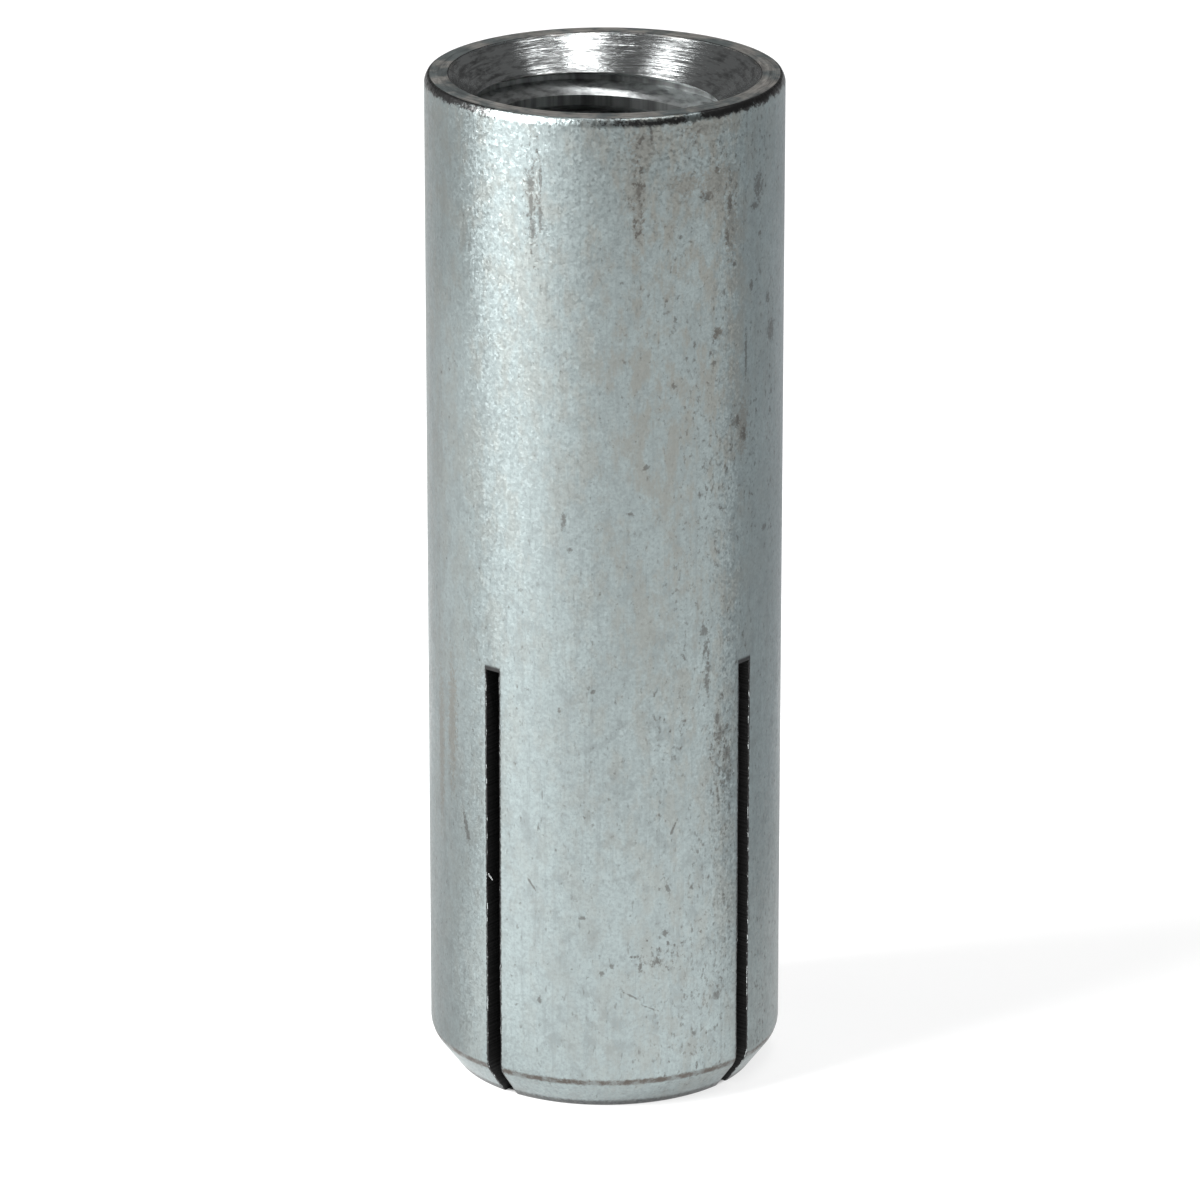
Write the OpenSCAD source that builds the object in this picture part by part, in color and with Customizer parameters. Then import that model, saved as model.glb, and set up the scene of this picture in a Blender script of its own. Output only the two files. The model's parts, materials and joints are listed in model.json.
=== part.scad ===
// Drop-in expansion anchor: a slotted, internally threaded steel sleeve with a loose tapered
// plug inside it. It is set flush in a drilled hole, then the plug is driven down with a punch
// until its cone spreads the four legs against the wall of the hole.
// Millimetres, +Z up. The origin is the centre of the base, and the mouth is at the top.
// The bore carries the minor diameter of the thread as a plain wall.

/* [Sleeve] */
// Outside diameter of the sleeve, a little under the drilled hole
body_d = 21.8; // [20:0.1:24]
// Length of the sleeve from its base to its mouth
body_l = 63.5; // [56:0.5:80]
// Radial width of the edge break round the mouth
rim_break_w = 0.2; // [0.1:0.05:0.5]
// Height of the edge break round the mouth
rim_break_h = 0.42; // [0.2:0.02:0.8]
// Radial width of the lead-in chamfer at the base
lead_in_w = 1.62; // [0.8:0.02:2.4]
// Height of the lead-in chamfer at the base
lead_in_h = 2.13; // [1:0.01:4]

/* [Mouth and thread] */
// Width of the flat ring round the mouth
rim_w = 1.25; // [0.6:0.05:2]
// Full angle of the countersink in the mouth
countersink_angle = 90; // [75:1:120]
// Minor diameter of the internal thread
thread_minor_d = 13.5; // [13:0.05:14.5]

/* [Expansion bore] */
// Diameter of the straight bore that holds the plug
plug_bore_d = 12.7; // [11.5:0.05:13]
// Length of the straight bore that holds the plug
plug_bore_l = 9; // [7:0.5:12]
// Height of the small cone between the thread and the plug bore
bore_step_h = 0.4; // [0.2:0.05:1]
// Half angle of the taper in the sleeve and of the cone on the plug
taper_angle = 7; // [5:0.25:9]
// Diameter of the straight hole that opens at the base
exit_d = 8.5; // [7:0.1:9.5]
// Length of the straight hole that opens at the base
exit_l = 9.9; // [6:0.1:12]
// Edge break round the hole in the base
exit_break = 0.4; // [0.1:0.05:0.8]

/* [Slots] */
// Number of saw cuts across the sleeve, each of which makes two slots
saw_cuts = 2; // [1:1:3]
// Width of a slot
slot_w = 1; // [0.6:0.05:2]
// Length of a slot from the base
slot_l = 28.2; // [20:0.1:36]

/* [Plug] */
// Radial clearance between the plug and its bore
plug_clearance = 0.04; // [0.01:0.01:0.1]
// Length of the straight land at the top of the plug
plug_land_l = 5; // [3:0.5:7]
// Length of the cone of the plug
plug_cone_l = 12; // [8:0.5:14]
// Edge break on both ends of the plug
plug_edge = 0.3; // [0.1:0.05:0.6]
// Distance that the plug slides before its cone meets the taper
plug_free_travel = 3.7; // [2:0.1:5]

/* [Hidden] */
$fn = 96;

// Names of the separate pieces

// Length by which a cutting tool runs past the face that it enters
tool_over = 1;

body_r = body_d / 2;
thread_r = thread_minor_d / 2;
plug_bore_r = plug_bore_d / 2;
exit_r = exit_d / 2;

// Countersink, measured down from the mouth
countersink_r = body_r - rim_break_w - rim_w;
countersink_z = body_l - (countersink_r - thread_r) / tan(countersink_angle / 2);

// Heights of the steps in the bore, measured up from the base
taper_top_z = exit_l + (plug_bore_r - exit_r) / tan(taper_angle);
thread_end_z = taper_top_z + plug_bore_l;

// Plug, with its cone parallel to the taper and its land in the plug bore
plug_r = plug_bore_r - plug_clearance;
plug_nose_r = plug_r - plug_cone_l * tan(taper_angle);
plug_cone_z = taper_top_z + plug_free_travel - plug_clearance / tan(taper_angle);
plug_nose_z = plug_cone_z - plug_cone_l;
plug_top_z = plug_cone_z + plug_land_l;

// Turned section of the sleeve, from the base up the outside and down the bore
module sleeve_section() {
    polygon([
        [exit_r + exit_break, 0],
        [body_r - lead_in_w, 0],
        [body_r, lead_in_h],
        [body_r, body_l - rim_break_h],
        [body_r - rim_break_w, body_l],
        [countersink_r, body_l],
        [thread_r, countersink_z],
        [thread_r, thread_end_z],
        [plug_bore_r, thread_end_z - bore_step_h],
        [plug_bore_r, taper_top_z],
        [exit_r, exit_l],
        [exit_r, exit_break],
    ]);
}

// One pass of the slitting saw across the sleeve, which leaves a square end
module saw_cut() {
    translate([-body_r - tool_over, -slot_w / 2, -tool_over])
        cube([body_d + 2 * tool_over, slot_w, slot_l + tool_over]);
}

module sleeve() {
    color([0.70, 0.74, 0.74])
        difference() {
            rotate_extrude() sleeve_section();
            for (cut = [0 : saw_cuts - 1])
                rotate([0, 0, cut * 180 / saw_cuts]) saw_cut();
        }
}

// Turned section of the plug, from the nose up the cone to the driven face
module plug_section() {
    polygon([
        [0, plug_nose_z],
        [plug_nose_r - plug_edge, plug_nose_z],
        [plug_nose_r + plug_edge * tan(taper_angle), plug_nose_z + plug_edge],
        [plug_r, plug_cone_z],
        [plug_r, plug_top_z - plug_edge],
        [plug_r - plug_edge, plug_top_z],
        [0, plug_top_z],
    ]);
}

module expander_plug() {
    color([0.56, 0.57, 0.57])
        rotate_extrude() plug_section();
}

sleeve();
expander_plug();
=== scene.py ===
"""Drop-in anchor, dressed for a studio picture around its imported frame.

Sizes are in metres in the frame's own axes: +Z runs up the sleeve to its mouth, and the saw cuts
lie on X and Y. Finishes work in millimetres of Object coordinates.
"""
import json
import math

import bmesh
import bpy
from bpy.props import FloatProperty, FloatVectorProperty, IntProperty, PointerProperty
from mathutils import Matrix, Vector, noise


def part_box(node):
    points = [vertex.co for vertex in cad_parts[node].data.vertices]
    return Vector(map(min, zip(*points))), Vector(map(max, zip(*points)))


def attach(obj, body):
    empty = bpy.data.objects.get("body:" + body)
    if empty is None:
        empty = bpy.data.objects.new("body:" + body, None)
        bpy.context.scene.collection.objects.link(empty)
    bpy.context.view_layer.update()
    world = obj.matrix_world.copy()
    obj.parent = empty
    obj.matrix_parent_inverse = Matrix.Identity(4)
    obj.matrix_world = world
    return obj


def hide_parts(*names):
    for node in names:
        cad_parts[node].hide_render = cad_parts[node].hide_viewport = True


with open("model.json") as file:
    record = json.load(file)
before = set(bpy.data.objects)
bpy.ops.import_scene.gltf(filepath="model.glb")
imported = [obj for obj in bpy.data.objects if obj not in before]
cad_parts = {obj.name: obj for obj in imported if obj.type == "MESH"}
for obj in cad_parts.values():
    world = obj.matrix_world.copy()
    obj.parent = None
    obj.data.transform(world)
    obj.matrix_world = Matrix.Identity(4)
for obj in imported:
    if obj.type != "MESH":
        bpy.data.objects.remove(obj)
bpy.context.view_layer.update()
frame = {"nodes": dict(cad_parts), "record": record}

bl_info = {
    "name": "Drop-in Anchor",
    "version": (1, 0, 0),
    "blender": (4, 5, 0),
    "location": "View3D > Sidebar > Anchor",
    "description": "Builds a zinc-plated drop-in anchor with a cut thread and sawn legs",
    "category": "Add Mesh",
}

MM = 0.001
MOUNTS = {mount["name"]: mount for mount in frame["record"]["mounts"]}

# Tolerances of the mesh work
ON_PLANE = 1e-6
WELD = 1e-7
CUT_NEAR = 1e-8
SLIVER = 0.0005 * MM

# Rounding of the section's corners, from the rim of the base up the outside to the countersink
CORNER_WIDTHS = (0.12 * MM, 0.45 * MM, 0.15 * MM, 0.12 * MM, 0.05 * MM)
SHARP_ANGLE = math.radians(25)

# Saw cuts: splits of a torn edge, which edges tear by length and share of the radius, and the waves
# per millimetre and size of the tear
TEAR_CUTS = 120
TEAR_LONGER_THAN = 5 * MM
TEAR_OUTSIDE = 0.9
TEAR_WAVES = ((2.3, 0.6), (0.4, 1.0))
# Run of the burr from its root to its tip, in slot widths
BURR_RUN = (0.43, -0.02, -0.36)

# Tap: steps in a turn, half of the thread's angle and how far the tool reaches into the bore
TAP_STEPS = 96
FLANK_ANGLE = math.radians(30)
TAP_REACH = 0.25 * MM

# Turn about Z that brings the camera's side of the wall to +X
FRONT_TURN = math.radians(51.2)
# Soft edge of a mark in its own half sizes, and a start that every mark is nearer than
MARK_EDGE = (1.3, 0.5)
FAR_OFF = 99.0
# Millimetres: reach of the dark line from the middle of a saw cut and at its end, and the inside of the
# flat ring
SLOT_DARK_LINE = (0.64, 0.56)
SLOT_DARK_LINE_TOP = (28.6, 28.4)
RING_EDGE = (9.55, 9.75)
# Leans of the scuffs in radians
SCUFF_LEANS = (-0.9, -0.35, 0.6)

# Stage: camera, lamps, height of the upright cards, lift of the flat ones, floor and its dark middle, a
# painted shadow under the base
SENSOR_WIDTH = 36
LAMP_DISTANCE = 500 * MM
FLAG_HEIGHT = 60 * MM
MAT_LIFT = 0.2 * MM
FLOOR_SIZE = 4
FLOOR_GREY = (0.28, 0.28, 0.28, 1)
PAINTED_SHADOW_UNDER_BASE = (8.8 * MM, 9.3 * MM)
WHITE = (1, 1, 1)
COOL_WHITE = (0.97, 1.0, 1.03)

# Softboxes: name, if it aims at the mouth, turn from the camera and rise in degrees, width and height
SOFTBOXES = (
    ("key", False, -64, 29, 0.22, 0.32),
    ("crown_left", True, -85, 57, 0.165, 0.16),
    ("crown_right", True, 32, 67, 0.15, 0.2),
    ("overhead", True, 157, 78, 0.22, 0.1),
    ("crown_side", True, 80, 55, 0.18, 0.12),
)


def wall_span(name):
    """Radius, lower end and upper end of a round mount's wall."""
    mount = MOUNTS[name]
    half = mount["dims"]["length_mm"] * MM / 2
    middle = mount["pos_m"][2]
    return mount["dims"]["r_mm"] * MM, middle - half, middle + half


BODY_R, LEAD_IN_TOP, BREAK_Z = wall_span("shank")
THREAD_R, THREAD_END, CONE_END = wall_span("anchor_thread")
BODY_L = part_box("sleeve")[1][2]


# Marks on the wall in millimetres: side from the camera's front, height, half width, half length,
# and lean in degrees
DARK_MARKS = (
    (2.75, 62.6, 0.1, 0.5, 0),
    (2.1, 62.1, 0.14, 0.35, -30),
    (2.0, 59.0, 0.16, 0.4, 0),
    (-4.5, 57.9, 0.12, 1.7, 0),
    (-3.9, 59.6, 0.1, 1.1, 0),
    (-4.5, 59.2, 0.24, 0.8, 0),
    (-4.4, 56.6, 0.2, 0.9, 0),
    (-3.9, 57.3, 0.14, 0.8, 0),
    (7.2, 59.8, 0.2, 0.24, 0),
    (10.5, 56.9, 0.45, 0.24, 0),
    (10.2, 52.0, 0.18, 0.35, 0),
    (12.2, 50.8, 0.25, 0.45, 0),
    (7.2, 49.7, 0.4, 0.3, 20),
    (4.3, 50.9, 0.1, 0.3, 0),
    (4.6, 56.0, 0.14, 0.14, 0),
    (6.4, 58.3, 0.45, 0.3, 0),
    (8.2, 57.6, 0.16, 0.65, 0),
    (8.0, 55.4, 0.14, 0.45, 0),
    (10.9, 58.0, 0.4, 0.9, 0),
    (11.1, 55.1, 0.2, 0.18, 0),
    (8.6, 53.7, 0.18, 0.15, 0),
    (7.7, 52.1, 0.22, 0.22, 0),
    (12.7, 48.6, 0.5, 0.7, 0),
    (9.7, 47.8, 0.12, 1.6, 0),
    (4.2, 46.8, 0.2, 0.17, 0),
    (7.0, 47.8, 0.16, 0.16, 0),
    (8.8, 43.8, 0.35, 0.35, 0),
    (9.5, 42.9, 0.25, 0.5, 0),
    (2.5, 41.9, 0.26, 0.15, 15),
    (8.0, 41.0, 0.15, 0.3, 0),
    (1.5, 39.0, 0.24, 0.1, 0),
    (-2.5, 38.5, 0.16, 0.5, 0),
    (-2.1, 36.7, 0.16, 0.16, 0),
    (11.9, 36.3, 0.3, 0.2, 0),
    (6.4, 31.0, 0.3, 0.4, 0),
    (6.6, 27.6, 0.16, 0.7, 0),
    (7.4, 25.1, 0.2, 0.5, 0),
    (8.4, 21.4, 0.22, 0.6, 0),
    (8.2, 22.7, 0.32, 0.6, 0),
    (7.6, 24.0, 0.24, 0.5, 0),
    (6.7, 28.5, 0.16, 0.22, 0),
    (4.3, 18.6, 0.08, 0.5, -25),
    (3.9, 14.8, 0.12, 0.4, 20),
    (3.8, 11.8, 0.26, 0.2, 0),
    (-0.2, 9.4, 0.16, 0.2, 0),
    (0.4, 9.9, 0.14, 0.16, 0),
    (-1.4, 13.0, 0.18, 0.16, 0),
    (-4.6, 14.9, 0.06, 0.5, 35),
    (1.6, 7.9, 0.06, 0.6, 60),
    (2.8, 7.0, 0.06, 0.5, 65),
    (-2.8, 26.4, 0.14, 0.16, 0),
    (-0.7, 27.7, 0.16, 0.12, 0),
    (-9.7, 17.4, 0.2, 1.1, 14),
    (7.5, 7.0, 0.3, 0.3, 0),
    (-4.1, 7.4, 0.16, 0.2, 0),
    (2.2, 9.8, 0.12, 0.4, 0),
)
SPECK_ROWS = (
    (-4.4, 58.3, 0.6, 3.6, 0),
    (2.0, 58.6, 0.4, 3.0, 0),
    (7.7, 22.6, 1.0, 3.2, 0),
    (6.5, 29.0, 0.4, 3.0, 0),
    (3.5, 10.4, 1.8, 0.9, 0),
)
STAINS = (
    (2.2, 61.7, 0.8, 1.2, 0),
    (2.0, 58.5, 0.4, 2.6, 0),
    (4.9, 59.2, 1.1, 0.7, 0),
    (7.2, 59.0, 1.2, 1.3, 0),
    (8.3, 56.2, 0.5, 2.2, 0),
    (6.0, 62.6, 1.2, 0.5, 0),
    (9.4, 43.4, 0.5, 1.8, 0),
    (7.3, 49.7, 0.4, 0.4, 0),
    (-11.2, 24.0, 0.5, 4.0, 0),
    (-12.7, 22.0, 0.4, 5.0, 0),
)
# Stretches of the rim's edge left out of the dark band, where the key's highlight falls on it
RIM_HIGHLIT = (
    (-3.4, 63.3, 4.4, 2.0, 0),
    (5.6, 63.3, 0.5, 2.0, 0),
    (2.9, 63.5, 2.4, 0.2, 0),
)


class AnchorSizes(bpy.types.PropertyGroup):
    """Sizes of the sleeve that the frame doesn't name."""

    rim_break: FloatProperty(
        name="Rim Break", description="Radial width of the edge break round the mouth",
        default=0.2 * MM, unit="LENGTH", precision=5)
    rim_width: FloatProperty(
        name="Rim Width", description="Width of the flat ring round the mouth",
        default=1.25 * MM, unit="LENGTH", precision=5)
    lead_in: FloatProperty(
        name="Lead-in", description="Radial width of the chamfer at the base",
        default=1.62 * MM, unit="LENGTH", precision=5)
    plug_bore: FloatProperty(
        name="Plug Bore", description="Radius of the straight bore that holds the plug",
        default=6.35 * MM, unit="LENGTH", precision=5)
    bore_step: FloatProperty(
        name="Bore Step", description="Height of the small cone under the thread",
        default=0.4 * MM, unit="LENGTH", precision=5)
    plug_bore_length: FloatProperty(
        name="Plug Bore Length", description="Length of the straight bore that holds the plug",
        default=9 * MM, unit="LENGTH", precision=5)
    exit_radius: FloatProperty(
        name="Exit Radius", description="Radius of the hole in the base",
        default=4.25 * MM, unit="LENGTH", precision=5)
    exit_length: FloatProperty(
        name="Exit Length", description="Length of the straight hole in the base",
        default=9.9 * MM, unit="LENGTH", precision=5)
    exit_break: FloatProperty(
        name="Exit Break", description="Edge break round the hole in the base",
        default=0.4 * MM, unit="LENGTH", precision=5)
    slot_width: FloatProperty(
        name="Slot Width", description="Width of a saw cut",
        default=1 * MM, unit="LENGTH", precision=5)
    slot_length: FloatProperty(
        name="Slot Length", description="Length of a saw cut from the base",
        default=28.2 * MM, unit="LENGTH", precision=5)
    slot_edge: FloatProperty(
        name="Slot Edge", description="Width of the worn edge along a saw cut",
        default=0.05 * MM, unit="LENGTH", precision=5)
    slot_tear: FloatProperty(
        name="Slot Tear", description="How far the edges of a saw cut wander",
        default=0.06 * MM, unit="LENGTH", precision=5)
    burr_width: FloatProperty(
        name="Burr Width", description="Radius of the burr in the front left slot at its root",
        default=0.06 * MM, unit="LENGTH", precision=5)
    burr_height: FloatProperty(
        name="Burr Height", description="Height of the burr in the front left slot",
        default=14.88 * MM, unit="LENGTH", precision=5)
    pitch: FloatProperty(
        name="Thread Pitch", description="Pitch of the internal thread",
        default=25.4 * MM / 11, unit="LENGTH", precision=5)
    thread_major: FloatProperty(
        name="Thread Major Radius", description="Radius at the root of the internal thread",
        default=7.94 * MM, unit="LENGTH", precision=5)
    thread_start: FloatProperty(
        name="Thread Start", description="Angle round the sleeve at which the thread enters",
        default=math.radians(-22), subtype="ANGLE")
    segments: IntProperty(
        name="Segments", description="Steps round the sleeve", default=224, min=64)


class AnchorFinish(bpy.types.PropertyGroup):
    """Colours of the finishes."""

    zinc: FloatVectorProperty(
        name="Zinc", description="Dull zinc plate on the outside", subtype="COLOR",
        default=(0.325, 0.379, 0.381))
    zinc_shade: FloatVectorProperty(
        name="Zinc Shade", description="Darker clouds in the zinc plate", subtype="COLOR",
        default=(0.234, 0.265, 0.266))
    stain: FloatVectorProperty(
        name="Stain", description="Warm film on the zinc plate", subtype="COLOR",
        default=(0.268, 0.273, 0.252))
    rust: FloatVectorProperty(
        name="Rust", description="Brown line over the lead-in and in the stains", subtype="COLOR",
        default=(0.11, 0.098, 0.088))
    burr: FloatVectorProperty(
        name="Burr", description="Bright flecks along the saw cuts", subtype="COLOR",
        default=(0.6, 0.64, 0.64))
    grime: FloatVectorProperty(
        name="Grime", description="Brown-black specks on the plate", subtype="COLOR",
        default=(0.07, 0.06, 0.052))
    # Real pits and wear, and also painted shade: the dark band on the rim's edge break and the walls of
    # the saw cuts
    pit_and_shade: FloatVectorProperty(
        name="Pit", description="Dark pits and worn edges", subtype="COLOR",
        default=(0.055, 0.055, 0.055))
    bare_steel: FloatVectorProperty(
        name="Bare Steel", description="Machined steel in the mouth", subtype="COLOR",
        default=(0.52, 0.54, 0.54))
    rim_ring: FloatVectorProperty(
        name="Rim Ring", description="Dull flat ring round the mouth", subtype="COLOR",
        default=(0.52, 0.5, 0.47))
    # Near black as painted shade inside the saw cuts, far darker than sawn steel
    shaded_sawn_steel: FloatVectorProperty(
        name="Sawn Steel", description="Dark walls of the saw cuts", subtype="COLOR",
        default=(0.03, 0.03, 0.03))
    plug_steel: FloatVectorProperty(
        name="Plug Steel", description="Turned steel of the plug", subtype="COLOR",
        default=(0.42, 0.43, 0.43))


class AnchorStage(bpy.types.PropertyGroup):
    """Camera, floor and lights."""

    azimuth: FloatProperty(
        name="Azimuth", description="Direction of the camera round the sleeve",
        default=math.radians(38.8), subtype="ANGLE")
    elevation: FloatProperty(
        name="Elevation", description="Height of the camera over the sleeve",
        default=math.radians(19), subtype="ANGLE")
    distance: FloatProperty(
        name="Distance", description="Distance of the camera from its aim",
        default=461.5 * MM, unit="LENGTH")
    lens: FloatProperty(
        name="Lens", description="Focal length in millimetres on a 36 mm sensor", default=224.4)
    aim_height: FloatProperty(
        name="Aim Height", description="Height of the camera's aim",
        default=29.85 * MM, unit="LENGTH", precision=5)
    aim_side: FloatProperty(
        name="Aim Side", description="Offset of the camera's aim to its right",
        default=-0.29 * MM, unit="LENGTH", precision=5)
    world_light: FloatProperty(
        name="World Light", description="Strength of the even light all round", default=0.15)
    floor_glow: FloatProperty(
        name="Floor Glow", description="Light of the white floor towards the camera", default=0.79)
    key: FloatProperty(
        name="Key", description="Power of the tall softbox on the left", default=8.9)
    crown_left: FloatProperty(
        name="Left Crown", description="Power of the softbox high on the left", default=0.3)
    crown_right: FloatProperty(
        name="Right Crown", description="Power of the softbox high on the right", default=0.7)
    crown_side: FloatProperty(
        name="Side Crown", description="Power of the small softbox on the far right", default=0.2)
    overhead: FloatProperty(
        name="Overhead", description="Power of the small light over the mouth", default=0.42)
    flag_left: FloatProperty(
        name="Left Flag", description="Brightness of the grey card on the left", default=0.92)
    flag_right: FloatProperty(
        name="Right Flag", description="Brightness of the grey card on the right", default=0.62)
    mat: FloatProperty(
        name="Mats", description="Brightness of the grey cards on the floor", default=0.8)
    mat_front: FloatProperty(
        name="Front Mat", description="Brightness of the white card on the floor in front",
        default=1.6)
    mat_key: FloatProperty(
        name="Key Mat", description="Brightness of the white card on the floor under the key",
        default=1.85)
    shoulder: FloatProperty(
        name="Shoulder Card", description="Brightness of the small card on the left", default=1.2)
    flag_front: FloatProperty(
        name="Front Flag", description="Brightness of the grey card in front", default=1.27)


class Nodes:
    """A material's nodes, with short calls for the kinds that the finishes and the stage share."""

    def __init__(self, name):
        self.material = bpy.data.materials.new(name)
        self.material.use_nodes = True
        self.tree = self.material.node_tree
        self.out = self.tree.nodes["Material Output"].inputs["Surface"]

    def node(self, kind, **settings):
        made = self.tree.nodes.new(kind)
        for key, value in settings.items():
            setattr(made, key, value)
        return made

    def link(self, value, socket):
        """Joins a socket to another, or sets it where value is a number or a colour."""
        if isinstance(value, bpy.types.NodeSocket):
            self.tree.links.new(value, socket)
        elif hasattr(value, "__len__") and len(value) == 3 and socket.type == "RGBA":
            socket.default_value = (*value, 1.0)
        else:
            socket.default_value = value

    def math(self, operation, first, second=0.0):
        made = self.node("ShaderNodeMath", operation=operation)
        self.link(first, made.inputs[0])
        self.link(second, made.inputs[1])
        return made.outputs[0]

    def vector(self, operation, *values):
        made = self.node("ShaderNodeVectorMath", operation=operation)
        for value, socket in zip(values, made.inputs):
            self.link(value, socket)
        return made.outputs["Value" if operation in ("DOT_PRODUCT", "LENGTH") else "Vector"]

    def split(self, vector):
        made = self.node("ShaderNodeSeparateXYZ")
        self.link(vector, made.inputs[0])
        return made.outputs

    def place(self):
        """Object coordinates in metres."""
        return self.node("ShaderNodeTexCoord").outputs["Object"]

    def band(self, value, low, high, to_low=0.0, to_high=1.0, kind="SMOOTHSTEP"):
        """Step of a value from low to high, smooth or straight."""
        made = self.node("ShaderNodeMapRange", interpolation_type=kind)
        self.link(value, made.inputs["Value"])
        limits = {"From Min": low, "From Max": high, "To Min": to_low, "To Max": to_high}
        for key, number in limits.items():
            made.inputs[key].default_value = number
        return made.outputs["Result"]

    def glow(self, strength, tint=WHITE):
        made = self.node("ShaderNodeEmission")
        made.inputs["Color"].default_value = (*tint, 1)
        self.link(strength, made.inputs["Strength"])
        return made.outputs[0]


class Finish(Nodes):
    """A metal finish on the Principled shader."""

    def __init__(self, name, roughness):
        super().__init__(name)
        self.shader = self.tree.nodes["Principled BSDF"]
        self.shader.inputs["Metallic"].default_value = 1.0
        self.shader.inputs["Roughness"].default_value = roughness
        self.mm = self.vector("MULTIPLY", self.place(), (1 / MM,) * 3)

    def stretched(self, factors, turn=0.0, shift=(0, 0, 0), vector=None):
        """Object coordinates in millimetres, or another vector, turned about Z, moved and scaled."""
        made = self.node("ShaderNodeMapping")
        self.link(self.mm if vector is None else vector, made.inputs["Vector"])
        made.inputs["Rotation"].default_value = (0, 0, turn)
        made.inputs["Scale"].default_value = factors
        made.inputs["Location"].default_value = shift
        return made.outputs[0]

    def noise(self, vector, scale, detail=2.0, roughness=0.5):
        made = self.node("ShaderNodeTexNoise")
        self.link(vector, made.inputs["Vector"])
        made.inputs["Scale"].default_value = scale
        made.inputs["Detail"].default_value = detail
        made.inputs["Roughness"].default_value = roughness
        return made.outputs["Fac"]

    def facets(self, vector, scale, tilt):
        """Surface normal with a random lean for each small grain of the plate."""
        cell = self.node("ShaderNodeTexVoronoi")
        self.link(vector, cell.inputs["Vector"])
        cell.inputs["Scale"].default_value = scale
        centred = self.vector("SUBTRACT", cell.outputs["Color"], (0.5,) * 3)
        normal = self.node("ShaderNodeNewGeometry").outputs["Normal"]
        return self.vector("NORMALIZE", self.vector("MULTIPLY_ADD", centred, (tilt,) * 3, normal))

    def unrolled(self):
        """Place on the wall laid flat: millimetres round from the camera's side, and height."""
        x, y, z = self.split(self.stretched((1, 1, 1), turn=FRONT_TURN))
        flat = self.node("ShaderNodeCombineXYZ")
        round_wall = self.math("MULTIPLY", self.math("ARCTAN2", y, x), BODY_R / MM)
        self.link(round_wall, flat.inputs["X"])
        self.link(z, flat.inputs["Y"])
        return flat.outputs[0]

    def marks(self, flat, wobble, places):
        """Soft-edged marks on the unrolled wall: side, height, half width, half length, lean."""
        nearest = FAR_OFF
        for side, height, width, length, lean in places:
            if lean:
                off = self.vector("SUBTRACT", flat, (side, height, 0))
                turned = Matrix.Rotation(math.radians(lean), 2)
                joined = self.node("ShaderNodeCombineXYZ")
                for axis, size, socket in zip(turned.col, (width, length), joined.inputs):
                    self.link(self.vector("DOT_PRODUCT", off, axis.to_3d() / size), socket)
                place = joined.outputs[0]
            else:
                moved = (-side / width, -height / length, 0)
                place = self.vector("MULTIPLY_ADD", flat, (1 / width, 1 / length, 0), moved)
            nearest = self.math("MINIMUM", self.vector("LENGTH", place), nearest)
        return self.band(self.math("ADD", nearest, wobble), *MARK_EDGE)

    def ringwise(self, radius, arc, across):
        """Seamless coordinates for marks that run round the axis."""
        unit = self.vector("NORMALIZE", self.stretched((1, 1, 0)))
        outward = self.node("ShaderNodeCombineXYZ")
        self.link(self.math("MULTIPLY", radius, across), outward.inputs["Z"])
        return self.vector("ADD", self.vector("MULTIPLY", unit, (arc,) * 3), outward.outputs[0])

    def line_noise(self, value, scale, detail=2.0, roughness=0.5):
        """Noise along one number, for rings and lines."""
        made = self.node("ShaderNodeTexNoise", noise_dimensions="1D")
        self.link(value, made.inputs["W"])
        made.inputs["Scale"].default_value = scale
        made.inputs["Detail"].default_value = detail
        made.inputs["Roughness"].default_value = roughness
        return made.outputs["Fac"]

    def mix(self, factor, first, second):
        made = self.node("ShaderNodeMix", data_type="RGBA")
        self.link(factor, made.inputs[0])
        self.link(first, made.inputs[6])
        self.link(second, made.inputs[7])
        return made.outputs[2]

    def radius(self):
        """Distance from the axis in millimetres."""
        return self.vector("LENGTH", self.stretched((1, 1, 0)))

    def bump(self, height, strength, depth, under=None):
        made = self.node("ShaderNodeBump")
        self.link(height, made.inputs["Height"])
        made.inputs["Strength"].default_value = strength
        made.inputs["Distance"].default_value = depth
        if under is not None:
            self.link(under, made.inputs["Normal"])
        return made.outputs[0]

    def paint(self, colour=None, roughness=None, normal=None):
        if colour is not None:
            self.link(colour, self.shader.inputs["Base Color"])
        if roughness is not None:
            self.link(roughness, self.shader.inputs["Roughness"])
        if normal is not None:
            self.link(normal, self.shader.inputs["Normal"])
        return self.material


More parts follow.
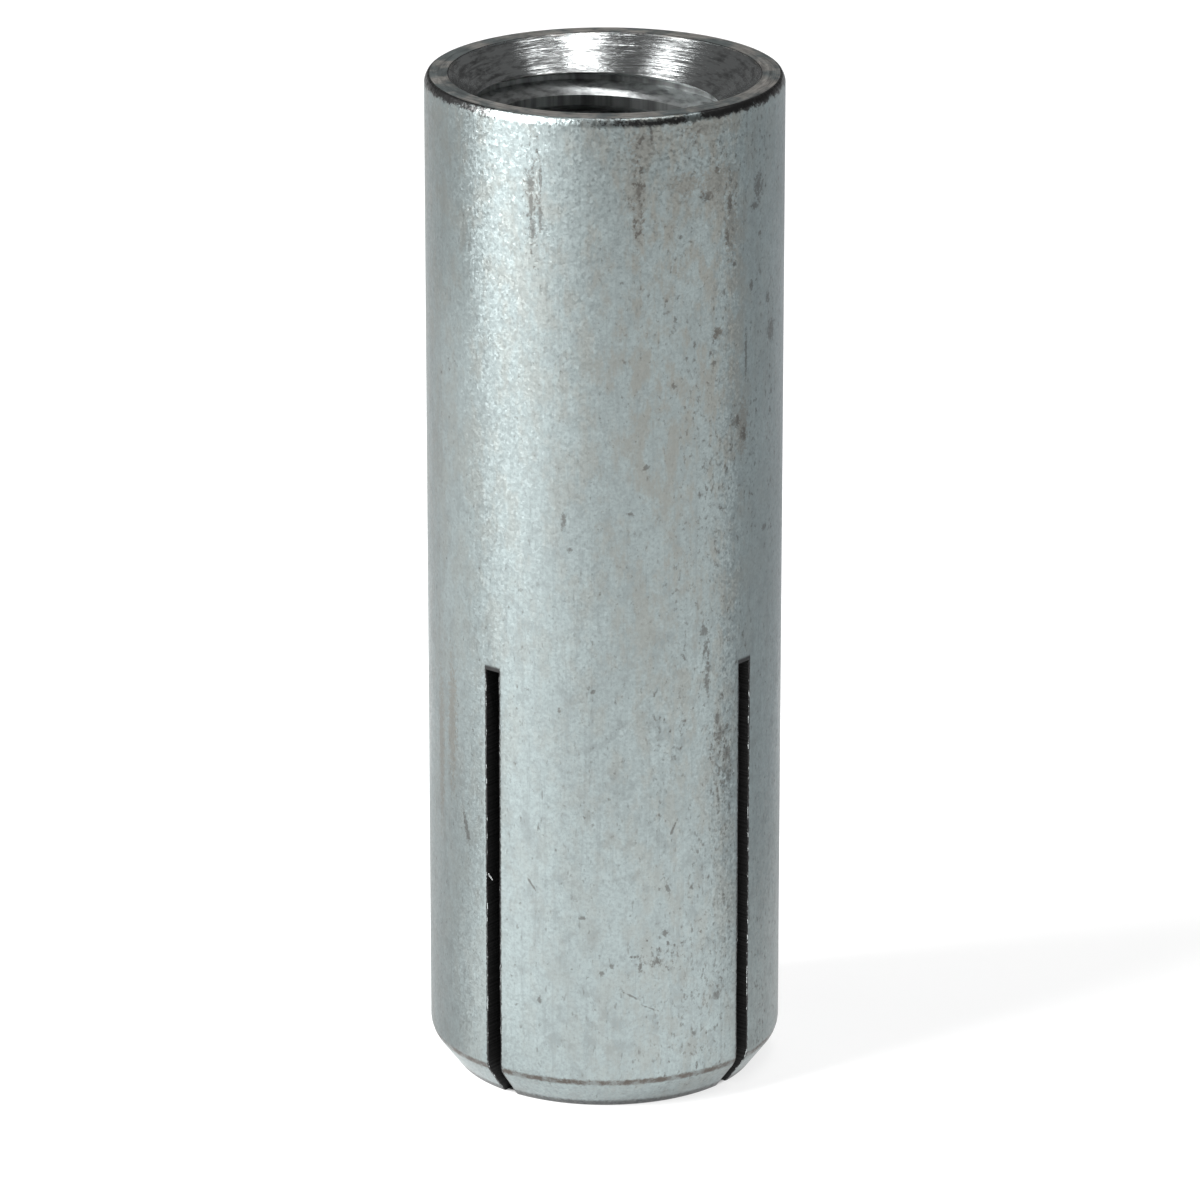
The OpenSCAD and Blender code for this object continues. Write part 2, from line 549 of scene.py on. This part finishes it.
def zinc_plate(finish):
    """Dull plate on the wall: fine grains, drawing streaks, pits, warm stains, a darker foot, and a rim
    band that is partly wear and partly painted shade.
    """
    coat = Finish("zinc_plate", roughness=0.36)
    flat = coat.unrolled()
    side, along, _ = coat.split(flat)
    clouds = coat.noise(coat.stretched((1, 1, 0.5)), scale=0.25, detail=4, roughness=0.6)
    mottle = coat.noise(coat.mm, scale=1.3, detail=5, roughness=0.75)
    streaks = coat.noise(coat.stretched((1, 1, 0.05)), scale=2.4, detail=3, roughness=0.65)
    ripple = coat.noise(coat.mm, scale=4.5, detail=3, roughness=0.7)
    wobble = coat.math("MULTIPLY", coat.math("SUBTRACT", ripple, 0.5), 3.4)
    cloudy = coat.band(clouds, 0.3, 0.7, to_low=0.35, to_high=0.0)
    colour = coat.mix(cloudy, finish.zinc, finish.zinc_shade)
    colour = coat.mix(coat.band(mottle, 0.28, 0.6, to_low=0.5, to_high=0.0), colour, finish.zinc_shade)
    colour = coat.mix(coat.band(streaks, 0.52, 0.7, to_high=0.5), colour, finish.zinc_shade)
    grain = coat.noise(coat.mm, scale=5.0, detail=2, roughness=0.6)
    colour = coat.mix(coat.band(grain, 0.3, 0.6, to_low=0.6, to_high=0.0), colour, finish.zinc_shade)
    low = coat.band(along, 20, 46, to_low=1.0, to_high=0.5)
    moved = coat.stretched((1, 1, 0.8), shift=(7, 2, 0))
    patches = coat.noise(moved, scale=0.9, detail=4, roughness=0.65)
    patches = coat.math("MULTIPLY", coat.band(patches, 0.5, 0.68), low)
    colour = coat.mix(coat.math("MULTIPLY", patches, 0.85), colour, finish.zinc_shade)
    blotches = coat.marks(flat, wobble, STAINS)
    colour = coat.mix(stain_mask(coat, blotches, side, along), colour, finish.stain)
    colour = coat.mix(coat.math("MULTIPLY", blotches, 0.18), colour, finish.rust)
    colour = coat.mix(coat.math("MULTIPLY", scuffs(coat, flat), low), colour, finish.grime)

    rows = coat.noise(coat.stretched((1, 1, 0.1), shift=(3, 0, 0)), scale=0.7, detail=2)
    rows = coat.band(rows, 0.35, 0.6, to_low=0.25, to_high=0.6)
    rows = coat.math("MULTIPLY", rows, coat.band(side, 1, 6, to_low=0.4))
    rows = coat.math("MAXIMUM", rows, coat.marks(flat, wobble, SPECK_ROWS))
    peppered = coat.noise(coat.stretched((1, 1, 0.7)), scale=3.4, detail=3, roughness=0.6)
    peppered = coat.math("ADD", peppered, coat.math("MULTIPLY", rows, 0.2))
    strokes = coat.math("MULTIPLY", coat.marks(flat, wobble, DARK_MARKS), 0.85)
    dark = coat.math("MAXIMUM", coat.band(peppered, 0.64, 0.86), strokes)
    colour = coat.mix(coat.math("MULTIPLY", dark, 0.68), colour, finish.grime)

    # Dark band on the rim's edge break: partly wear, partly painted shade where the break would mirror
    # dark surroundings; the listed stretches keep the key's highlight
    highlit = coat.marks(flat, wobble, RIM_HIGHLIT)
    ragged = coat.math("ADD", along, coat.math("MULTIPLY", mottle, 1.5))
    dark_share = coat.math("SUBTRACT", 1.0, coat.math("MULTIPLY", highlit, 0.9))
    top = BODY_L / MM
    worn = coat.math("MULTIPLY", coat.band(ragged, top + 0.2, top + 0.4), dark_share)
    colour = coat.mix(worn, colour, finish.pit_and_shade)
    wavy = coat.math("ADD", along, coat.math("MULTIPLY", wobble, 0.1))
    line = coat.band(coat.math("ABSOLUTE", coat.math("SUBTRACT", wavy, LEAD_IN_TOP / MM)), 0.28, 0.1)
    broken = coat.band(mottle, 0.35, 0.6, to_low=0.35)
    colour = coat.mix(coat.math("MULTIPLY", line, broken), colour, finish.rust)
    # Darker along the lowest part of the lead-in, next to the floor
    colour = coat.mix(coat.band(wavy, 0.6, 0.32, to_high=0.85), colour, finish.pit_and_shade)
    colour = coat.mix(slot_dark_line(coat, wobble, along), colour, finish.pit_and_shade)

    normal = coat.facets(coat.mm, scale=6.0, tilt=0.16)
    normal = coat.bump(grain, strength=1.0, depth=0.014 * MM, under=normal)
    normal = coat.bump(streaks, strength=0.3, depth=0.05 * MM, under=normal)
    roughness = coat.band(clouds, 0.3, 0.7, to_low=0.37, to_high=0.31)
    return coat.paint(colour, roughness, normal)


def scuffs(coat, flat):
    """Short faint scratches that lean both ways."""
    every = 0.0
    for lean in SCUFF_LEANS:
        across = coat.stretched((1, 0.35, 1), turn=lean, shift=(9 * lean, 0, 0), vector=flat)
        stroke = coat.noise(across, scale=2.6, detail=2, roughness=0.55)
        every = coat.math("MAXIMUM", coat.band(stroke, 0.66, 0.78, to_high=0.4), every)
    return every


def slot_dark_line(coat, wobble, along):
    """Dark ragged line on the plate beside the saw cuts."""
    x, y, _ = coat.split(coat.mm)
    off_cut = coat.math("MINIMUM", coat.math("ABSOLUTE", x), coat.math("ABSOLUTE", y))
    ragged = coat.math("ADD", off_cut, coat.math("MULTIPLY", wobble, 0.07))
    beside = coat.band(ragged, *SLOT_DARK_LINE)
    return coat.math("MULTIPLY", beside, coat.band(along, *SLOT_DARK_LINE_TOP))


def stain_mask(coat, blotches, side, along):
    """Warm film: faint clouds, thicker near the mouth and right of the middle, and the stains."""
    high = coat.band(along, 10, 58, to_low=0.4, to_high=0.9)
    high = coat.math("MULTIPLY", high, coat.band(side, -4, 4, to_low=0.5))
    high = coat.math("MULTIPLY", high, coat.band(side, 8, 11, to_low=1.0, to_high=0.2))
    cloud = coat.noise(coat.stretched((1, 1, 0.45)), scale=0.8, detail=4, roughness=0.7)
    film = coat.math("MULTIPLY", high, coat.band(cloud, 0.44, 0.62))
    return coat.math("MAXIMUM", film, coat.math("MULTIPLY", blotches, 0.85))


def machined_mouth(finish):
    """Turned steel: a bright countersink with tool rings inside a dull flat ring."""
    steel = Finish("machined_mouth", roughness=0.2)
    radius = steel.radius()
    rings = steel.noise(steel.ringwise(radius, arc=2.0, across=8.0), scale=1.0, detail=3, roughness=0.6)
    round_mouth = steel.ringwise(radius, arc=6.0, across=3.6)
    blotch = steel.noise(round_mouth, scale=1.0, detail=4, roughness=0.7)
    patch = steel.noise(steel.mm, scale=0.5, detail=3, roughness=0.6)
    colour = steel.mix(steel.band(blotch, 0.42, 0.66, to_high=0.75), finish.bare_steel, finish.pit_and_shade)
    colour = steel.mix(steel.band(rings, 0.55, 0.7, to_high=0.5), colour, finish.pit_and_shade)
    edge = steel.math("ADD", radius, steel.math("MULTIPLY", blotch, 0.5))
    flat = steel.band(edge, *RING_EDGE)
    ring = steel.mix(steel.band(patch, 0.42, 0.6), finish.zinc_shade, finish.rim_ring)
    ring = steel.mix(steel.band(blotch, 0.4, 0.66, to_high=0.5), ring, finish.pit_and_shade)
    ring = steel.mix(steel.band(rings, 0.5, 0.65, to_high=0.35), ring, finish.pit_and_shade)
    colour = steel.mix(flat, colour, ring)
    normal = steel.bump(rings, strength=0.55, depth=0.07 * MM)
    normal = steel.bump(blotch, strength=0.25, depth=0.05 * MM, under=normal)
    dull = steel.band(blotch, 0.35, 0.65, to_low=0.1, to_high=0.22)
    return steel.paint(colour, steel.math("MAXIMUM", dull, steel.math("MULTIPLY", flat, 0.45)), normal)


def cut_thread(finish):
    """Tapped steel with faint marks along the thread."""
    steel = Finish("cut_thread", roughness=0.28)
    radius = steel.radius()
    marks = steel.noise(steel.ringwise(radius, arc=8.0, across=3.0), scale=1.0, detail=3, roughness=0.6)
    dark = steel.band(marks, 0.4, 0.7, to_low=0.1, to_high=0.65)
    colour = steel.mix(dark, finish.bare_steel, finish.pit_and_shade)
    return steel.paint(colour, normal=steel.bump(marks, strength=0.3, depth=0.05 * MM))


def worn_edge(finish):
    """Burred edge of a saw cut: bright flecks on dark metal."""
    steel = Finish("worn_edge", roughness=0.25)
    flecks = steel.noise(steel.stretched((1, 1, 0.7)), scale=2.6, detail=3, roughness=0.7)
    colour = steel.mix(steel.band(flecks, 0.52, 0.62), finish.pit_and_shade, finish.burr)
    return steel.paint(colour, normal=steel.bump(flecks, strength=0.5, depth=0.08 * MM))


def sawn_wall(finish):
    """Wall of a saw cut painted near black as the shade inside the cut, with fine marks across it."""
    steel = Finish("sawn_wall", roughness=0.6)
    marks = steel.line_noise(steel.split(steel.mm)[2], scale=7, detail=2, roughness=0.6)
    colour = steel.mix(steel.band(marks, 0.3, 0.7), finish.pit_and_shade, finish.shaded_sawn_steel)
    return steel.paint(colour, normal=steel.bump(marks, strength=0.3, depth=0.04 * MM))


def turned_plug(finish):
    """Turned steel of the plug."""
    steel = Finish("turned_plug", roughness=0.34)
    rings = steel.line_noise(steel.radius(), scale=6, detail=3, roughness=0.6)
    blotch = steel.noise(steel.mm, scale=0.7, detail=3, roughness=0.6)
    colour = steel.mix(steel.band(blotch, 0.3, 0.7, to_high=0.6), finish.plug_steel, finish.zinc_shade)
    colour = steel.mix(steel.band(rings, 0.48, 0.66, to_high=0.55), colour, finish.pit_and_shade)
    return steel.paint(colour, normal=steel.bump(rings, strength=0.6, depth=0.06 * MM))


def add_object(name, mesh, materials=()):
    made = bpy.data.objects.new(name, mesh)
    bpy.context.scene.collection.objects.link(made)
    for material in materials:
        mesh.materials.append(material)
    return made


def draw_section(bm, points):
    """Closed line of (radius, height) points in the XZ plane."""
    verts = [bm.verts.new((radius, 0, height)) for radius, height in points]
    for i in range(len(verts)):
        bm.edges.new((verts[i - 1], verts[i]))
    return verts


def round_corner(bm, vert, width):
    """Rounds one corner of the section before it is turned."""
    bmesh.ops.bevel(
        bm, geom=[vert], offset=width, offset_type="OFFSET", affect="VERTICES",
        segments=3, profile=0.5, material=-1)


def turn_section(bm, steps):
    """Spins everything drawn so far into a closed solid, with facet borders away from the saw cuts."""
    half_step = Matrix.Rotation(math.pi / steps, 3, "Z")
    bmesh.ops.rotate(bm, verts=bm.verts, cent=(0, 0, 0), matrix=half_step)
    bmesh.ops.spin(
        bm, geom=bm.verts[:] + bm.edges[:], cent=(0, 0, 0), axis=(0, 0, 1), dvec=(0, 0, 0),
        angle=math.tau, steps=steps, use_merge=True, use_duplicate=False)
    bmesh.ops.remove_doubles(bm, verts=bm.verts, dist=WELD)
    bmesh.ops.recalc_face_normals(bm, faces=bm.faces)


# Material slots of the sleeve; the saw cuts' walls and ends take a near-black painted shade
ZINC, MOUTH, THREAD, SHADED_SAWN, EDGE = range(5)


def saw_slot(bm, sizes, turn):
    """Cuts one slot through the wall on the side that turn points to, and closes its three walls."""
    half = sizes.slot_width / 2
    top = sizes.slot_length
    out = Vector((math.cos(turn), math.sin(turn), 0))
    side = Vector((-math.sin(turn), math.cos(turn), 0))

    def in_reach(face):
        middle = face.calc_center_median()
        return middle.z < top and middle.dot(out) > 0

    def below():
        faces = [f for f in bm.faces if in_reach(f)]
        edges = dict.fromkeys(e for f in faces for e in f.edges)
        verts = dict.fromkeys(v for f in faces for v in f.verts)
        return list(verts) + list(edges) + faces

    for sign in (1, -1):
        bmesh.ops.bisect_plane(
            bm, geom=below(), dist=CUT_NEAR, plane_co=side * half * sign, plane_no=side)
    gone = [f for f in bm.faces if in_reach(f) and abs(f.calc_center_median().dot(side)) < half]
    bmesh.ops.delete(bm, geom=gone, context="FACES")
    rim = [e for e in bm.edges if e.is_boundary and e.verts[0].co.dot(out) > 0]
    corners = {}
    for vert in dict.fromkeys(v for e in rim for v in e.verts):
        across = vert.co.dot(side)
        if abs(vert.co.z - top) < ON_PLANE and abs(abs(across) - half) < ON_PLANE:
            corners.setdefault(across > 0, []).append(vert)
    joins = {key: bm.edges.new(pair) for key, pair in corners.items()}

    def lies_on(edge, test):
        return all(test(v.co) for v in edge.verts)

    for sign in (1, -1):
        wall = [e for e in rim if lies_on(e, lambda co: abs(co.dot(side) - sign * half) < ON_PLANE)]
        made = bmesh.ops.edgeloop_fill(bm, edges=wall + [joins[sign > 0]], mat_nr=SHADED_SAWN)
        if len(made["faces"]) != 1:
            raise RuntimeError("a slot wall did not close")
    roof = [e for e in rim if lies_on(e, lambda co: abs(co.z - top) < ON_PLANE)]
    made = bmesh.ops.edgeloop_fill(bm, edges=roof + list(joins.values()), mat_nr=SHADED_SAWN)
    if len(made["faces"]) != 1:
        raise RuntimeError("a slot end did not close")


def cut_edges(bm):
    """Edges where the saw cuts leave the outside."""
    return [e for e in bm.edges
            if len(e.link_faces) == 2
            and {f.material_index for f in e.link_faces} == {ZINC, SHADED_SAWN}]


def tear_slot_edges(bm, sizes):
    """Splits the long edges of the saw cuts into short steps and shifts these a little sideways."""
    upright = [e for e in cut_edges(bm)
               if e.calc_length() > TEAR_LONGER_THAN
               and min(v.co.xy.length for v in e.verts) > BODY_R * TEAR_OUTSIDE]
    made = bmesh.ops.subdivide_edges(bm, edges=upright, cuts=TEAR_CUTS, use_grid_fill=False)
    inner = dict.fromkeys(v for v in made["geom_inner"] if isinstance(v, bmesh.types.BMVert))
    for vert in inner:
        place = vert.co / MM
        shift = sum(noise.noise(place * often) * far for often, far in TEAR_WAVES)
        if abs(vert.co.x) < abs(vert.co.y):
            vert.co.x += shift * sizes.slot_tear
        else:
            vert.co.y += shift * sizes.slot_tear


def wear_slot_edges(bm, sizes):
    """Breaks the edges where the saw cuts leave the outside, and drops the slivers this makes."""
    worn = cut_edges(bm)
    made = bmesh.ops.bevel(
        bm, geom=worn, offset=sizes.slot_edge, offset_type="OFFSET", affect="EDGES",
        segments=2, profile=0.5, material=-1, clamp_overlap=True)
    for face in made["faces"]:
        at_end = face.calc_center_median().z > sizes.slot_length - sizes.slot_edge * 2
        face.material_index = SHADED_SAWN if at_end else EDGE
    bmesh.ops.dissolve_degenerate(bm, dist=SLIVER, edges=bm.edges)


def hang_burr(bm, sizes):
    """Thin curl of metal that the saw left on one edge of the front left slot."""
    root = Vector((
        -sizes.slot_width / 2 - 2 * sizes.slot_edge, -BODY_R + 3 * sizes.burr_width, sizes.burr_height))
    tip = root + Vector(BURR_RUN) * sizes.slot_width
    curl = tip - root
    place = Matrix.Translation((root + tip) / 2) @ curl.to_track_quat("Z", "Y").to_matrix().to_4x4()
    made = bmesh.ops.create_cone(
        bm, cap_ends=True, segments=6, radius1=sizes.burr_width, radius2=sizes.burr_width / 2,
        depth=curl.length, matrix=place)
    for face in {f for v in made["verts"] for f in v.link_faces}:
        face.material_index = THREAD


def put_in_order(mesh):
    """Sorts points and faces by place, because mesh operations may list them differently each run."""
    points = sorted(mesh.vertices, key=lambda v: tuple(v.co))
    places = [v.co.copy() for v in points]
    rank = {v.index: i for i, v in enumerate(points)}
    faces = []
    for face in mesh.polygons:
        ring = [rank[i] for i in face.vertices]
        first = ring.index(min(ring))
        faces.append((ring[first:] + ring[:first], face.material_index))
    faces.sort()
    mesh.clear_geometry()
    mesh.from_pydata(places, [], [ring for ring, finish in faces])
    mesh.polygons.foreach_set("material_index", [finish for ring, finish in faces])
    mesh.update()


def break_slot_edges(mesh, sizes):
    """Gives the saw cuts of a finished sleeve their ragged, broken edges."""
    for step in (tear_slot_edges, wear_slot_edges, hang_burr):
        put_in_order(mesh)
        bm = bmesh.new()
        bm.from_mesh(mesh)
        step(bm, sizes)
        bm.to_mesh(mesh)
        bm.free()
    put_in_order(mesh)


def name_surfaces(bm, sizes, countersink):
    """Gives each face of the turned sleeve the finish of its surface."""
    for face in bm.faces:
        middle = face.calc_center_median()
        radius = math.hypot(middle.x, middle.y)
        on_top = middle.z > BODY_L - ON_PLANE
        if on_top or (radius < countersink and middle.z > CONE_END):
            face.material_index = MOUTH
        elif radius < sizes.thread_major and middle.z > THREAD_END - sizes.plug_bore_length * 2:
            face.material_index = THREAD
        else:
            face.material_index = ZINC


def thread_cutter(sizes):
    """Helical tap that leaves a 60 degree thread, an eighth of its pitch wide at the root."""
    root_half = sizes.pitch / 16
    inner = THREAD_R - TAP_REACH
    mouth_half = root_half + (sizes.thread_major - inner) * math.tan(FLANK_ANGLE)
    bm = bmesh.new()
    start = THREAD_END + mouth_half
    turns = math.ceil((BODY_L - THREAD_END) / sizes.pitch) + 1
    verts = [bm.verts.new(point) for point in (
        (inner, 0, start - mouth_half), (sizes.thread_major, 0, start - root_half),
        (sizes.thread_major, 0, start + root_half), (inner, 0, start + mouth_half))]
    face = bm.faces.new(verts)
    turn = Matrix.Rotation(sizes.thread_start, 3, "Z")
    bmesh.ops.rotate(bm, verts=verts, cent=(0, 0, 0), matrix=turn)
    bmesh.ops.spin(
        bm, geom=[face], cent=(0, 0, 0), axis=(0, 0, 1), dvec=(0, 0, sizes.pitch / TAP_STEPS),
        angle=math.tau * turns, steps=TAP_STEPS * turns, use_merge=False, use_duplicate=False)
    bmesh.ops.recalc_face_normals(bm, faces=bm.faces)
    for face in bm.faces:
        face.material_index = THREAD
    mesh = bpy.data.meshes.new("tap")
    bm.to_mesh(mesh)
    bm.free()
    return mesh


def tap_bore(sleeve, sizes, materials):
    """Cuts the thread out of the sleeve and keeps the result as a plain mesh."""
    tap = add_object("tap", thread_cutter(sizes), materials)
    cut = sleeve.modifiers.new("thread", "BOOLEAN")
    cut.operation = "DIFFERENCE"
    cut.solver = "EXACT"
    cut.object = tap
    graph = bpy.context.evaluated_depsgraph_get()
    mesh = bpy.data.meshes.new_from_object(sleeve.evaluated_get(graph))
    sleeve.modifiers.clear()
    sleeve.data = mesh
    bpy.data.objects.remove(tap)


class ANCHOR_OT_sleeve(bpy.types.Operator):
    """Turn the sleeve, saw its legs and tap its bore"""

    bl_idname = "anchor.sleeve"
    bl_label = "Sleeve"

    def execute(self, context):
        sizes = context.scene.anchor_sizes
        finish = context.scene.anchor_finish
        base_rim = BODY_R - sizes.lead_in
        rim = BODY_R - sizes.rim_break
        countersink = rim - sizes.rim_width
        taper_top = THREAD_END - sizes.plug_bore_length
        bm = bmesh.new()
        verts = draw_section(bm, (
            (sizes.exit_radius + sizes.exit_break, 0),
            (base_rim, 0),
            (BODY_R, LEAD_IN_TOP),
            (BODY_R, BREAK_Z),
            (rim, BODY_L),
            (countersink, BODY_L),
            (THREAD_R, CONE_END),
            (THREAD_R, THREAD_END),
            (sizes.plug_bore, THREAD_END - sizes.bore_step),
            (sizes.plug_bore, taper_top),
            (sizes.exit_radius, sizes.exit_length),
            (sizes.exit_radius, sizes.exit_break)))
        for vert, width in zip(verts[1:], CORNER_WIDTHS):
            round_corner(bm, vert, width)
        turn_section(bm, sizes.segments)
        name_surfaces(bm, sizes, countersink)
        for height in (sizes.slot_length, sizes.slot_length + sizes.slot_width):
            bmesh.ops.bisect_plane(
                bm, geom=bm.verts[:] + bm.edges[:] + bm.faces[:], dist=CUT_NEAR,
                plane_co=(0, 0, height), plane_no=(0, 0, 1))
        for quarter in range(4):
            saw_slot(bm, sizes, quarter * math.pi / 2)
        bmesh.ops.recalc_face_normals(bm, faces=bm.faces)
        mesh = bpy.data.meshes.new("sleeve_shell")
        bm.to_mesh(mesh)
        bm.free()
        put_in_order(mesh)
        makers = (zinc_plate, machined_mouth, cut_thread, sawn_wall, worn_edge)
        materials = [make(finish) for make in makers]
        sleeve = add_object("sleeve_shell", mesh, materials)
        tap_bore(sleeve, sizes, materials)
        break_slot_edges(sleeve.data, sizes)
        sleeve.data.polygons.foreach_set("use_smooth", [True] * len(sleeve.data.polygons))
        sleeve.data.set_sharp_from_angle(angle=SHARP_ANGLE)
        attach(sleeve, "sleeve")
        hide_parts("sleeve")
        return {"FINISHED"}


class ANCHOR_OT_plug(bpy.types.Operator):
    """Give the expander plug its turned finish"""

    bl_idname = "anchor.plug"
    bl_label = "Expander Plug"

    def execute(self, context):
        plug = frame["nodes"]["expander_plug"]
        plug.data.materials.clear()
        plug.data.materials.append(turned_plug(context.scene.anchor_finish))
        return {"FINISHED"}


def directions(azimuth, elevation):
    """Unit vectors from the aim to the camera and to the camera's right."""
    level = math.cos(elevation)
    back = Vector((math.sin(azimuth) * level, -math.cos(azimuth) * level, math.sin(elevation)))
    right = Vector((math.cos(azimuth), math.sin(azimuth), 0))
    return back, right


def add_softbox(name, aim, turn, rise, width, height, power):
    """Area light at an angle round the sleeve and a rise over the floor, aimed at it."""
    light = bpy.data.lights.new(name, "AREA")
    light.shape = "RECTANGLE"
    light.size = width
    light.size_y = height
    light.energy = power
    lamp = bpy.data.objects.new(name, light)
    bpy.context.scene.collection.objects.link(lamp)
    back, _ = directions(turn, rise)
    lamp.location = aim + back * LAMP_DISTANCE
    lamp.rotation_euler = back.to_track_quat("Z", "Y").to_euler()
    lamp.visible_camera = False


def white_floor(stage):
    """Pale floor that stays white to the camera and keeps the shadow; its glow is left out under the
    base, a painted shadow that the saw cuts show.
    """
    floor = Nodes("white_floor")
    path = floor.node("ShaderNodeLightPath")
    seen = path.outputs["Is Camera Ray"]
    for kind in ("Is Glossy Ray", "Is Transmission Ray"):
        seen = floor.math("MAXIMUM", seen, path.outputs[kind])
    reach = floor.vector("LENGTH", floor.place())
    glow_outside_painted_shadow = floor.band(reach, *PAINTED_SHADOW_UNDER_BASE, to_high=stage.floor_glow, kind="LINEAR")
    matte = floor.node("ShaderNodeBsdfDiffuse")
    matte.inputs["Color"].default_value = FLOOR_GREY
    both = floor.node("ShaderNodeAddShader")
    floor.link(floor.glow(floor.math("MULTIPLY", seen, glow_outside_painted_shadow)), both.inputs[0])
    floor.link(matte.outputs[0], both.inputs[1])
    floor.link(both.outputs[0], floor.out)
    return floor.material


def square_mesh(name, place):
    """One square face, two units wide before it is put in its place."""
    bm = bmesh.new()
    bmesh.ops.create_grid(bm, x_segments=1, y_segments=1, size=1)
    bmesh.ops.transform(bm, matrix=place, verts=bm.verts)
    mesh = bpy.data.meshes.new(name)
    bm.to_mesh(mesh)
    bm.free()
    return mesh


def add_card(name, axes, centre, level, top=1.0, tint=WHITE):
    """Card that only reflections see, to shade or lighten the plate, dimmed towards its top."""
    card = Nodes(name)
    height = card.split(card.place())["Z"]
    fall = card.band(height, 0, FLAG_HEIGHT, to_low=level, to_high=level * top, kind="LINEAR")
    card.link(card.glow(fall, tint), card.out)
    place = Matrix(axes).transposed().to_4x4()
    place.translation = centre
    made = add_object(name, square_mesh(name, place), [card.material])
    for ray in ("camera", "diffuse", "shadow", "transmission"):
        setattr(made, f"visible_{ray}", False)


def add_flag(
        name, facing, distance, width, level, offset=0, top=1.0, span=(0, FLAG_HEIGHT), tint=WHITE):
    """Upright card, square to facing, that covers a span of heights."""
    upright = Vector((0, 0, 1))
    along = upright.cross(facing)
    low, high = span
    centre = facing * distance + along * offset + upright * (low + high) / 2
    axes = (along * width / 2, upright * (high - low) / 2, facing)
    add_card(name, axes, centre, level, top, tint)


def add_mat(name, centre, across, width, depth, level):
    """Card flat on the floor."""
    upright = Vector((0, 0, 1))
    axes = (across * width / 2, upright.cross(across) * depth / 2, upright)
    add_card(name, axes, centre + upright * MAT_LIFT, level)


class ANCHOR_OT_stage(bpy.types.Operator):
    """Set up the floor, the lights and the camera"""

    bl_idname = "anchor.stage"
    bl_label = "Stage"

    def execute(self, context):
        scene = context.scene
        stage = scene.anchor_stage
        scene.view_settings.view_transform = "Standard"
        ground = square_mesh("floor", Matrix.Scale(FLOOR_SIZE, 4))
        floor = add_object("floor", ground, [white_floor(stage)])

        world = bpy.data.worlds.new("studio")
        world.use_nodes = True
        sky = world.node_tree.nodes["Background"]
        sky.inputs["Color"].default_value = (*WHITE, 1)
        sky.inputs["Strength"].default_value = stage.world_light
        scene.world = world

        back, right = directions(stage.azimuth, stage.elevation)
        aim = right * stage.aim_side + Vector((0, 0, stage.aim_height))
        camera_data = bpy.data.cameras.new("camera")
        camera_data.lens = stage.lens
        camera_data.sensor_width = SENSOR_WIDTH
        camera = bpy.data.objects.new("camera", camera_data)
        scene.collection.objects.link(camera)
        camera.location = aim + back * stage.distance
        camera.rotation_euler = back.to_track_quat("Z", "Y").to_euler()
        scene.camera = camera

        mouth = Vector((0, 0, BODY_L))
        for name, at_mouth, turn, rise, width, height in SOFTBOXES:
            add_softbox(
                name, mouth if at_mouth else aim, stage.azimuth + math.radians(turn),
                math.radians(rise), width, height, power=getattr(stage, name))

        ahead, _ = directions(stage.azimuth, 0)
        add_flag(
            "flag_right", right, distance=0.032, offset=0.07, width=0.16,
            level=stage.flag_right, tint=COOL_WHITE)
        add_flag(
            "flag_left", -right, distance=0.032, offset=-0.07, width=0.16,
            level=stage.flag_left, top=0.75)
        add_flag(
            "card_shoulder", -right, distance=0.0312, width=0.026,
            level=stage.shoulder, span=(0.012, 0.044))
        for name, hand in (("mat_left", -1), ("mat_right", 1)):
            centre = right * hand * 0.0228 - ahead * 0.0212
            add_mat(name, centre, right, width=0.0225, depth=0.0525, level=stage.mat)
        centre = ahead * 0.033 + right * 0.014
        add_mat("mat_front", centre, right, width=0.06, depth=0.042, level=stage.mat_front)
        keyward, aside = directions(stage.azimuth - math.radians(55), 0)
        add_mat("mat_key", keyward * 0.066, aside, width=0.036, depth=0.092, level=stage.mat_key)
        rightward, _ = directions(stage.azimuth + math.radians(30), 0)
        add_flag(
            "flag_front", rightward, distance=0.06, width=0.12, level=stage.flag_front, top=0.79)
        return {"FINISHED"}


class ANCHOR_PT_panel(bpy.types.Panel):
    """Pieces and stage of the anchor"""

    bl_idname = "ANCHOR_PT_panel"
    bl_label = "Drop-in Anchor"
    bl_space_type = "VIEW_3D"
    bl_region_type = "UI"
    bl_category = "Anchor"

    def draw(self, context):
        for operator in OPERATORS:
            self.layout.operator(operator.bl_idname)


OPERATORS = (ANCHOR_OT_sleeve, ANCHOR_OT_plug, ANCHOR_OT_stage)
GROUPS = (AnchorSizes, AnchorFinish, AnchorStage)
CLASSES = GROUPS + OPERATORS + (ANCHOR_PT_panel,)


def register():
    for cls in CLASSES:
        bpy.utils.register_class(cls)
    bpy.types.Scene.anchor_sizes = PointerProperty(type=AnchorSizes)
    bpy.types.Scene.anchor_finish = PointerProperty(type=AnchorFinish)
    bpy.types.Scene.anchor_stage = PointerProperty(type=AnchorStage)


def unregister():
    del bpy.types.Scene.anchor_stage
    del bpy.types.Scene.anchor_finish
    del bpy.types.Scene.anchor_sizes
    for cls in reversed(CLASSES):
        bpy.utils.unregister_class(cls)


def main():
    register()
    bpy.ops.anchor.sleeve()
    bpy.ops.anchor.plug()
    bpy.ops.anchor.stage()


if __name__ == "__main__":
    main()
